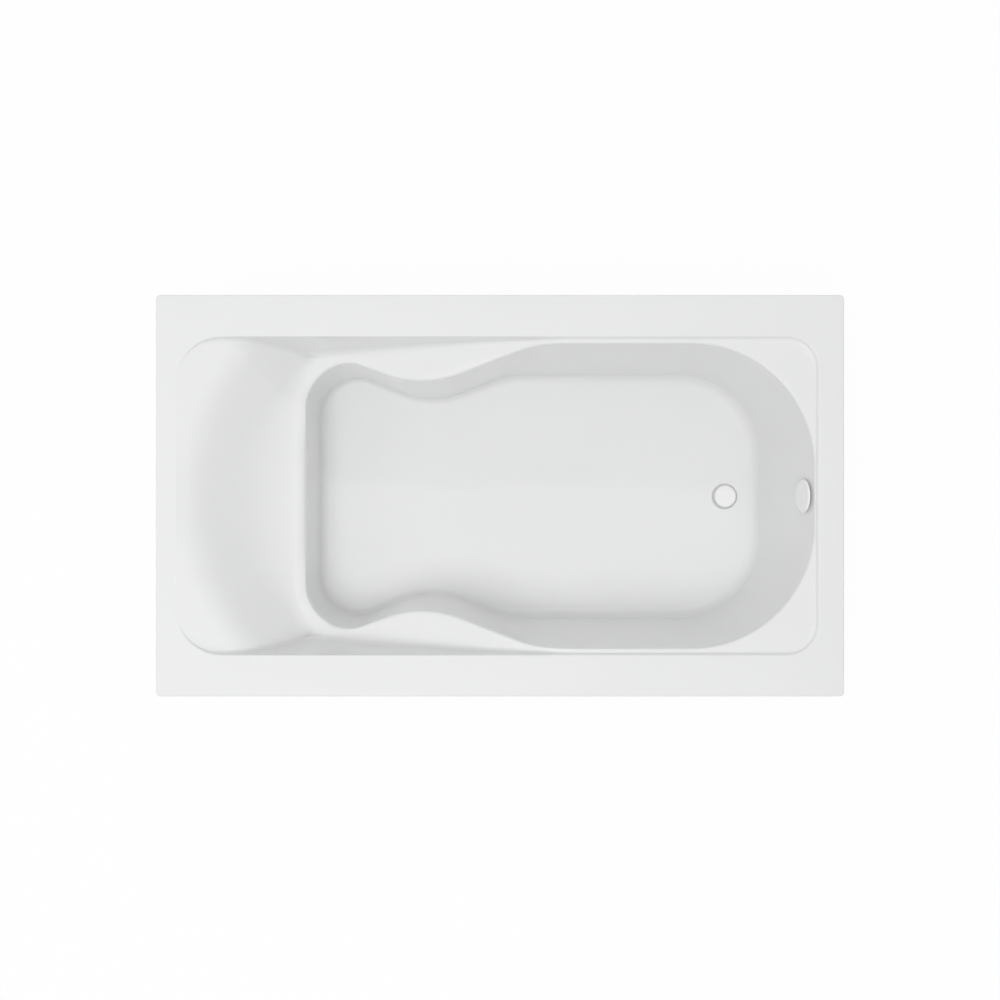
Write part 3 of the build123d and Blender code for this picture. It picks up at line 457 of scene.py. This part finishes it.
def tub_rings():
    """Every ring of the tub's upper face, from the floor outwards to the foot of the rim's lip."""
    floor_corner = outline(FLOOR_POINTS, FLOOR_RADII, 0.0)
    inner_ring = outline(FLOOR_POINTS, FLOOR_RADII, -FLOOR_INSET)
    towards_foot = fade(floor_corner[:, 0], *FLOOR_ROUND_X)
    floor_round = FLOOR_ROUND_HEAD + (FLOOR_ROUND_FOOT - FLOOR_ROUND_HEAD) * towards_foot
    floor_ring = lerp(floor_corner, inner_ring, floor_round / FLOOR_INSET)
    well_top = outline(TOP_POINTS, TOP_RADII, 0.0)
    basin, rim = basin_and_rim_columns(well_top)
    low = with_height(floor_corner, floor_height(floor_corner))
    high = with_height(well_top, RIM_Z)

    def wall(s):
        return lerp(low, high, s)

    lip_s = lip_on_wall(wall, len(well_top))
    lip = wall(lip_s)
    meets = foot_of_side(lip, basin)
    reach = np.linalg.norm(basin - lip[:, :2], axis=1)
    lip_out, lip_in = lip_sizes(lip)
    crease = crease_size(lerp(lip[:, :2], basin, meets))
    room = np.minimum(reach * meets * LEDGE_USED / (lip_out + crease), 1)
    lip_out = np.maximum(lip_out * room, reach * LEAST_SHARE)
    crease = np.maximum(crease * room, reach * LEAST_SHARE)
    meets = np.maximum(meets, (lip_out + crease) / reach + LEAST_LEDGE)

    def upper_face(t):
        xy = lerp(lip[:, :2], basin, t)
        return with_height(xy, upper_height(xy[:, 0], xy[:, 1])[0])

    # Floor's edge, wall and lip
    wall_height = lip[:, 2] - low[:, 2]
    wall_start = lip_s * np.minimum(floor_round / wall_height, MOST_OF_STRETCH)
    wall_end = lip_s * (1 - lip_in / wall_height)
    ledge_start = lip_out / reach
    ledge_end = meets - crease / reach
    floor_start = with_height(floor_ring, floor_height(floor_ring))
    rings = [with_height(inner_ring, floor_height(inner_ring))]
    rings += rounded_corner(floor_start, low, wall(wall_start), FLOOR_ROUND_RINGS)
    rings += rings_between(wall, wall_start, wall_end, WALL_RINGS)
    rings += rounded_corner(wall(wall_end), lip, upper_face(ledge_start), LIP_RINGS)
    rings += rings_between(upper_face, ledge_start, ledge_end, LEDGE_RINGS)

    # Crease, side and basin's edge
    crease_corner = upper_face(meets)
    step_height = RIM_Z - crease_corner[:, 2]
    edge_drop = np.minimum(EDGE_ROUND, step_height * MOST_OF_STRETCH)
    crease_rise = np.minimum(crease, np.maximum(step_height - edge_drop, LEAST_RISE) * CREASE_OF_SIDE)
    side_run = 1 - meets
    side_start = meets + side_run * crease_rise / np.maximum(step_height, LEAST_STEP)
    side_end = 1 - side_run * edge_drop / np.maximum(step_height, LEAST_STEP)

    def side_point(t):
        xy = lerp(lip[:, :2], basin, t)
        return with_height(xy, crease_corner[:, 2] + step_height * (t - meets) / side_run)

    low_step = 1 - fade(step_height, 0, LOW_STEP)
    edge_out = EDGE_ROUND + (LOW_STEP_EDGE_ROUND - EDGE_ROUND) * low_step * low_step
    outwards = (rim - basin) / np.linalg.norm(rim - basin, axis=1)[:, None]
    edge = with_height(basin, RIM_Z)
    deck_start = with_height(basin + outwards * edge_out[:, None], RIM_Z)
    rings += rounded_corner(upper_face(ledge_end), crease_corner, side_point(side_start), CREASE_RINGS)
    rings += rings_between(side_point, side_start, side_end, SIDE_RINGS)
    rings += rounded_corner(side_point(side_end), edge, deck_start, BASIN_EDGE_RINGS)

    # Deck, rim's edge and rim's lip
    deck_end = with_height(rim_outline(rim, EDGE_ROUND), RIM_Z)
    rings += [deck_start + (deck_end - deck_start) * t for t in DECK_SHARES]
    below = with_height(rim, RIM_Z - EDGE_ROUND)
    rings += rounded_corner(deck_end, with_height(rim, RIM_Z), below, RIM_EDGE_RINGS, weight=QUARTER_CIRCLE)
    rings.append(with_height(rim, RIM_Z - LIP_HEIGHT))
    return rings


def rim_outline(rim, inset):
    """The rim's outline moved inwards, column by column."""
    x_room = RIM_X - RIM_CORNER
    y_room = RIM_Y - RIM_CORNER
    core = np.stack([np.clip(rim[:, 0], -x_room, x_room), np.clip(rim[:, 1], -y_room, y_room)], 1)
    out = rim - core
    return core + out * (1 - inset / RIM_CORNER)


def drain_rings():
    """Rings from the floor round the drain down to the drain's hole."""
    steps = np.linspace(0, 2 * math.pi, DRAIN_STEPS + 1)[:-1]
    circle = np.stack([np.cos(steps), np.sin(steps)], 1)
    foot = ((0.0, RECESS_DEPTH - RECESS_FOOT), (-RECESS_FOOT, RECESS_DEPTH))
    hole = (DRAIN_HOLE - RECESS_RADIUS, RECESS_DEPTH)
    rings = []
    for outwards, down in (*RECESS_EDGE, *foot, hole):
        xy = circle * (RECESS_RADIUS + outwards) + (DRAIN_X, 0)
        rings.append(with_height(xy, floor_height(xy) if down == 0 else RIM_Z - FLOOR_DROP - down))
    return rings


def join_rings(made, rings):
    """Vertices for each ring, and faces between neighbouring rings."""
    rows = [[made.verts.new(point * MM) for point in ring] for ring in rings]
    for first, second in zip(rows, rows[1:]):
        for i in range(len(first)):
            j = (i + 1) % len(first)
            made.faces.new((first[i], first[j], second[j], second[i]))
    return rows


def tub_mesh(material):
    """The whole acrylic sheet: rings joined column by column, the flat floor filled in round the drain."""
    made = bmesh.new()
    floor_row = join_rings(made, tub_rings())[0]
    drain_row = join_rings(made, drain_rings()[::-1])[-1]
    fill_floor(made, floor_row, drain_row)
    bmesh.ops.remove_doubles(made, verts=made.verts, dist=MERGE_DISTANCE * MM)
    bmesh.ops.recalc_face_normals(made, faces=made.faces)
    floor_face = min(made.faces, key=lambda face: face.calc_center_median().z)
    if floor_face.normal.z < 0:
        bmesh.ops.reverse_faces(made, faces=made.faces)
    return shell_piece("tub_sheet", made, material, SHEET, "acrylic_shell")


def fill_floor(made, outer, inner):
    """Triangles between the floor's ring and the drain's; those inside the drain's are left out."""
    corners = outer + inner
    edges = []
    for first, ring in ((0, outer), (len(outer), inner)):
        for i in range(len(ring)):
            edges.append((first + i, first + (i + 1) % len(ring)))
    flat = [corner.co.xy for corner in corners]
    places, _, triangles, origins, _, _ = delaunay_2d_cdt(flat, edges, [], INSIDE_ONLY, CDT_TOLERANCE)
    drain = Vector((DRAIN_X, 0)) * MM
    drain_radius = (inner[0].co.xy - drain).length * JUST_INSIDE
    for triangle in triangles:
        middle = sum((places[i] for i in triangle), Vector((0, 0))) / 3
        if (middle - drain).length > drain_radius:
            made.faces.new([corners[origins[i][0]] for i in triangle])


def shell_piece(name, made, material, thickness, node):
    """A sheet given its thickness, in the place of a node of the tub."""
    mesh = bpy.data.meshes.new(name)
    made.to_mesh(mesh)
    made.free()
    mesh.shade_smooth()
    mesh.materials.append(material)
    piece = bpy.data.objects.new(name, mesh)
    bpy.context.scene.collection.objects.link(piece)
    thicken = piece.modifiers.new("thickness", "SOLIDIFY")
    thicken.thickness = thickness * MM
    thicken.offset = -1
    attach(piece, "tub")
    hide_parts(node)
    return piece


def backing_mesh(tub, material):
    """The sprayed backing: the tub's form moved behind the sheet, without deck, rim's lip and recess."""
    made = bmesh.new()
    made.from_mesh(tub.data)
    made.normal_update()
    behind = [(vertex, vertex.co - vertex.normal * BACKING_START * MM) for vertex in made.verts]
    for vertex, place in behind:
        vertex.co = place
    top = (RIM_Z - BACKING_TOP_DROP) * MM
    drain = (RECESS_RADIUS + BACKING_DRAIN_ROOM) * MM
    left_out = []
    for face in made.faces:
        middle = face.calc_center_median()
        on_deck = max(vertex.co.z for vertex in face.verts) > top
        on_lip = abs(middle.x) > (RIM_X - RIM_CORNER) * MM or abs(middle.y) > (RIM_Y - RIM_CORNER) * MM
        at_drain = math.hypot(middle.x - DRAIN_X * MM, middle.y) < drain
        if on_deck or on_lip or at_drain:
            left_out.append(face)
    bmesh.ops.delete(made, geom=left_out, context="FACES")
    thickness = SHEET + BACKING - BACKING_START
    shell_piece("sprayed_backing", made, material, thickness, "fibreglass_backing")


# Materials


class Nodes:
    """A material and a short way to add and link its shader nodes."""

    def __init__(self, name):
        self.material = bpy.data.materials.new(name)
        self.material.use_nodes = True
        self.tree = self.material.node_tree
        self.shader = self.tree.nodes["Principled BSDF"]

    def add(self, kind, **inputs):
        """A node with its properties and sockets set; a socket may take another node's output."""
        node = self.tree.nodes.new(kind)
        for key, value in inputs.items():
            if key in node.bl_rna.properties:
                setattr(node, key, value)
            else:
                self.put(value, node.inputs[key.replace("_", " ")])
        return node

    def put(self, value, socket):
        """Links an output to the socket, or sets a plain value."""
        if hasattr(value, "is_output"):
            self.tree.links.new(value, socket)
        else:
            socket.default_value = value

    def set(self, **inputs):
        """Sets or links the shader's own sockets."""
        for key, value in inputs.items():
            self.put(value, self.shader.inputs[key.replace("_", " ")])

    def place(self):
        """Coordinates that stay with the object."""
        return self.add("ShaderNodeTexCoord").outputs["Object"]

    def noise(self, scale, detail=3.0, stretch=(1, 1, 1)):
        mapping = self.add("ShaderNodeMapping", Vector=self.place(), Scale=stretch)
        texture = self.add("ShaderNodeTexNoise", Vector=mapping.outputs["Vector"], Scale=scale, Detail=detail)
        return texture.outputs["Fac"]

    def cells(self, scale):
        """Irregular cells, each with its own random colour."""
        texture = self.add("ShaderNodeTexVoronoi", Vector=self.place(), Scale=scale)
        shade = self.add("ShaderNodeSeparateColor", Color=texture.outputs["Color"])
        return texture.outputs["Distance"], shade.outputs

    def spread(self, value, low, high):
        """A texture's usual 0.3 to 0.7 turned into low to high."""
        ends = {"From_Min": 0.3, "From_Max": 0.7, "To_Min": low, "To_Max": high}
        return self.add("ShaderNodeMapRange", Value=value, **ends).outputs["Result"]

    def mix(self, factor, first, second):
        """A blend of two colours."""
        node = self.add("ShaderNodeMix", data_type="RGBA")
        self.put(factor, node.inputs["Factor"])
        self.put((*first, 1.0) if isinstance(first, tuple) else first, node.inputs["A"])
        self.put((*second, 1.0) if isinstance(second, tuple) else second, node.inputs["B"])
        return node.outputs["Result"]

    def bump(self, height, strength, distance):
        node = self.add("ShaderNodeBump", Height=height, Strength=strength, Distance=distance)
        self.set(Normal=node.outputs["Normal"])


def acrylic():
    m = Nodes("acrylic")
    cloud = m.noise(5.0, 2.0)
    m.set(Base_Color=m.mix(cloud, (0.825, 0.828, 0.832), (0.845, 0.847, 0.850)))
    m.set(Roughness=m.spread(m.noise(38.0, 4.0), 0.10, 0.15))
    m.set(IOR=1.49)
    m.bump(m.noise(160.0, 2.0), 0.05, 0.0004)
    return m.material


def trim_white():
    m = Nodes("trim_white")
    m.set(Base_Color=m.mix(m.noise(30.0, 2.0), (0.90, 0.90, 0.905), (0.92, 0.92, 0.922)))
    m.set(Roughness=m.spread(m.noise(220.0, 3.0), 0.14, 0.22))
    m.bump(m.noise(700.0, 2.0), 0.04, 0.0002)
    return m.material


def fibreglass():
    m = Nodes("fibreglass")
    strands = m.noise(90.0, 6.0, (1.0, 0.35, 1.0))
    cross = m.noise(90.0, 6.0, (0.35, 1.0, 1.0))
    patches = m.noise(9.0, 4.0)
    tint = m.mix(strands, (0.60, 0.57, 0.46), (0.76, 0.74, 0.64))
    m.set(Base_Color=m.mix(m.spread(patches, 0.0, 0.6), tint, (0.70, 0.68, 0.58)))
    m.set(Roughness=m.spread(strands, 0.35, 0.65))
    mixed = m.add("ShaderNodeMath", operation="ADD")
    m.put(strands, mixed.inputs[0])
    m.put(cross, mixed.inputs[1])
    m.bump(mixed.outputs["Value"], 0.7, 0.0015)
    return m.material


def chipboard():
    m = Nodes("chipboard")
    edges, chips = m.cells(190.0)
    m.set(Base_Color=m.mix(chips["Red"], (0.42, 0.29, 0.16), (0.66, 0.50, 0.31)))
    m.set(Roughness=m.spread(m.noise(120.0), 0.6, 0.8))
    m.bump(edges, 0.3, 0.0006)
    return m.material


def softwood(name, grain):
    """Sawn wood, with the grain along the axis that grain stretches."""
    m = Nodes(name)
    long_grain = m.noise(26.0, 5.0, grain)
    fine = m.noise(240.0, 3.0, grain)
    base = m.mix(m.spread(long_grain, 0.0, 1.0), (0.50, 0.34, 0.18), (0.72, 0.55, 0.34))
    m.set(Base_Color=m.mix(m.spread(fine, 0.0, 0.25), base, (0.44, 0.29, 0.15)))
    m.set(Roughness=m.spread(fine, 0.55, 0.75))
    m.bump(fine, 0.35, 0.0006)
    return m.material


def galvanised():
    m = Nodes("galvanised")
    spangles = m.cells(75.0)[1]
    m.set(Base_Color=m.mix(spangles["Red"], (0.48, 0.50, 0.52), (0.66, 0.68, 0.70)))
    m.set(Metallic=1.0)
    m.set(Roughness=m.spread(spangles["Green"], 0.32, 0.50))
    return m.material


def metal(name, dark, light, rough_low, rough_high, scale):
    """Bare or plated metal with faint clouds of the given scale."""
    m = Nodes(name)
    m.set(Base_Color=m.mix(m.noise(scale, 3.0), dark, light))
    m.set(Metallic=1.0)
    m.set(Roughness=m.spread(m.noise(scale * 3, 4.0), rough_low, rough_high))
    return m.material


def moulded(name, dark, light, rough_low, rough_high, bump=0.15):
    """Moulded plastic or rubber with a fine grain."""
    m = Nodes(name)
    m.set(Base_Color=m.mix(m.noise(45.0, 3.0), dark, light))
    m.set(Roughness=m.spread(m.noise(300.0, 3.0), rough_low, rough_high))
    m.bump(m.noise(900.0, 2.0), bump, 0.0003)
    return m.material


def make_finishes():
    """Every finish, by the name of its material slot; battens have one for each direction of their grain."""
    return {
        "acrylic": acrylic(),
        "white_trim": trim_white(),
        "fibreglass": fibreglass(),
        "board": chipboard(),
        "batten_left": softwood("batten_long", (0.12, 1.0, 1.0)),
        "batten_head": softwood("batten_cross", (1.0, 0.12, 1.0)),
        "rail": galvanised(),
        "zinc": metal("zinc", (0.55, 0.55, 0.50), (0.70, 0.69, 0.64), 0.25, 0.42, 60.0),
        "chrome": metal("chrome", (0.58, 0.58, 0.59), (0.64, 0.64, 0.65), 0.05, 0.10, 40.0),
        "brass": metal("brass", (0.62, 0.46, 0.20), (0.74, 0.57, 0.28), 0.18, 0.32, 80.0),
        "rubber": moulded("rubber", (0.020, 0.020, 0.021), (0.035, 0.035, 0.036), 0.55, 0.75, 0.3),
        "washer": moulded("washer", (0.26, 0.27, 0.28), (0.32, 0.33, 0.34), 0.5, 0.7, 0.3),
        "pipe": moulded("pipe", (0.72, 0.72, 0.68), (0.78, 0.78, 0.74), 0.22, 0.34, 0.06),
        "nut_plastic": moulded("nut_plastic", (0.66, 0.66, 0.63), (0.72, 0.72, 0.69), 0.38, 0.52),
        "bracket": moulded("bracket", (0.22, 0.22, 0.22), (0.28, 0.28, 0.28), 0.4, 0.55),
        "pad": moulded("pad", (0.022, 0.022, 0.024), (0.040, 0.040, 0.042), 0.45, 0.62, 0.3),
    }


def dress_nodes(finishes):
    """Gives each solid the finish of its material slot."""
    slots = {part["node"]: part["material_slot"] for part in frame["record"]["subparts"]}
    for name, node in frame["nodes"].items():
        finish = slots[name]
        if finish == "batten":
            finish = "batten_left" if name.endswith(("left", "right")) else "batten_head"
        node.data.materials.clear()
        node.data.materials.append(finishes[finish])


# Camera, white surroundings and lamps


def make_camera():
    """The photograph's camera: straight above the tub, looking down."""
    data = bpy.data.cameras.new("camera")
    camera = bpy.data.objects.new("camera", data)
    bpy.context.scene.collection.objects.link(camera)
    data.sensor_width = SENSOR
    data.lens = SENSOR * CAMERA_ABOVE_RIM / (PICTURE_PIXELS * MM_PER_PIXEL)
    down = -RIM_MIDDLE_UP_PIXELS * MM_PER_PIXEL
    camera.location = (0, down * MM, (RIM_Z + CAMERA_ABOVE_RIM) * MM)
    bpy.context.scene.camera = camera


def seen_directly(tree):
    """1 for camera, glossy and transmission rays."""
    path = tree.nodes.new("ShaderNodeLightPath")
    last = path.outputs["Is Camera Ray"]
    for key in ("Is Glossy Ray", "Is Transmission Ray"):
        larger = tree.nodes.new("ShaderNodeMath")
        larger.operation = "MAXIMUM"
        tree.links.new(last, larger.inputs[0])
        tree.links.new(path.outputs[key], larger.inputs[1])
        last = larger.outputs["Value"]
    return last


def make_world():
    """White to look at, and a weaker light on the object."""
    world = bpy.data.worlds.new("world")
    bpy.context.scene.world = world
    world.use_nodes = True
    tree = world.node_tree
    strength = tree.nodes.new("ShaderNodeMapRange")
    strength.inputs["To Min"].default_value = WORLD_STRENGTH
    strength.inputs["To Max"].default_value = 1.0
    tree.links.new(seen_directly(tree), strength.inputs["Value"])
    background = tree.nodes["Background"]
    background.inputs["Color"].default_value = (1, 1, 1, 1)
    tree.links.new(strength.outputs["Result"], background.inputs["Strength"])


def make_floor():
    """White floor: a share of it shines for the camera, and the rest keeps the object's shadow."""
    bpy.ops.mesh.primitive_plane_add(size=FLOOR_SIZE, location=(0, 0, -FLOOR_BELOW))
    floor = bpy.context.object
    floor.name = "floor"
    material = bpy.data.materials.new("floor")
    material.use_nodes = True
    tree = material.node_tree
    shader = tree.nodes["Principled BSDF"]
    shader.inputs["Base Color"].default_value = (0.9, 0.9, 0.9, 1)
    shader.inputs["Roughness"].default_value = 0.9
    glow = tree.nodes.new("ShaderNodeEmission")
    mix = tree.nodes.new("ShaderNodeMixShader")
    share = tree.nodes.new("ShaderNodeMath")
    share.operation = "MULTIPLY"
    share.inputs[1].default_value = FLOOR_SHOWN_WHITE
    tree.links.new(seen_directly(tree), share.inputs[0])
    tree.links.new(share.outputs["Value"], mix.inputs["Fac"])
    tree.links.new(shader.outputs["BSDF"], mix.inputs[1])
    tree.links.new(glow.outputs["Emission"], mix.inputs[2])
    tree.links.new(mix.outputs["Shader"], tree.nodes["Material Output"].inputs["Surface"])
    floor.data.materials.append(material)


def make_lamp(name, place, size, power, mirrored):
    """A rectangular lamp; only a mirrored one shows in glossy surfaces."""
    data = bpy.data.lights.new(name, "AREA")
    data.shape = "RECTANGLE"
    data.size, data.size_y = size
    data.energy = power
    lamp = bpy.data.objects.new(name, data)
    bpy.context.scene.collection.objects.link(lamp)
    lamp.location = place
    lamp.visible_glossy = mirrored
    direction = Vector(LAMP_AIM) - Vector(place)
    lamp.rotation_euler = direction.to_track_quat("-Z", "Y").to_euler()


# The scene

bpy.context.scene.view_settings.view_transform = "Standard"
make_camera()
make_world()
make_floor()
for lamp in LAMPS:
    make_lamp(**lamp)
finishes = make_finishes()
dress_nodes(finishes)
tub = tub_mesh(finishes["acrylic"])
backing_mesh(tub, finishes["fibreglass"])
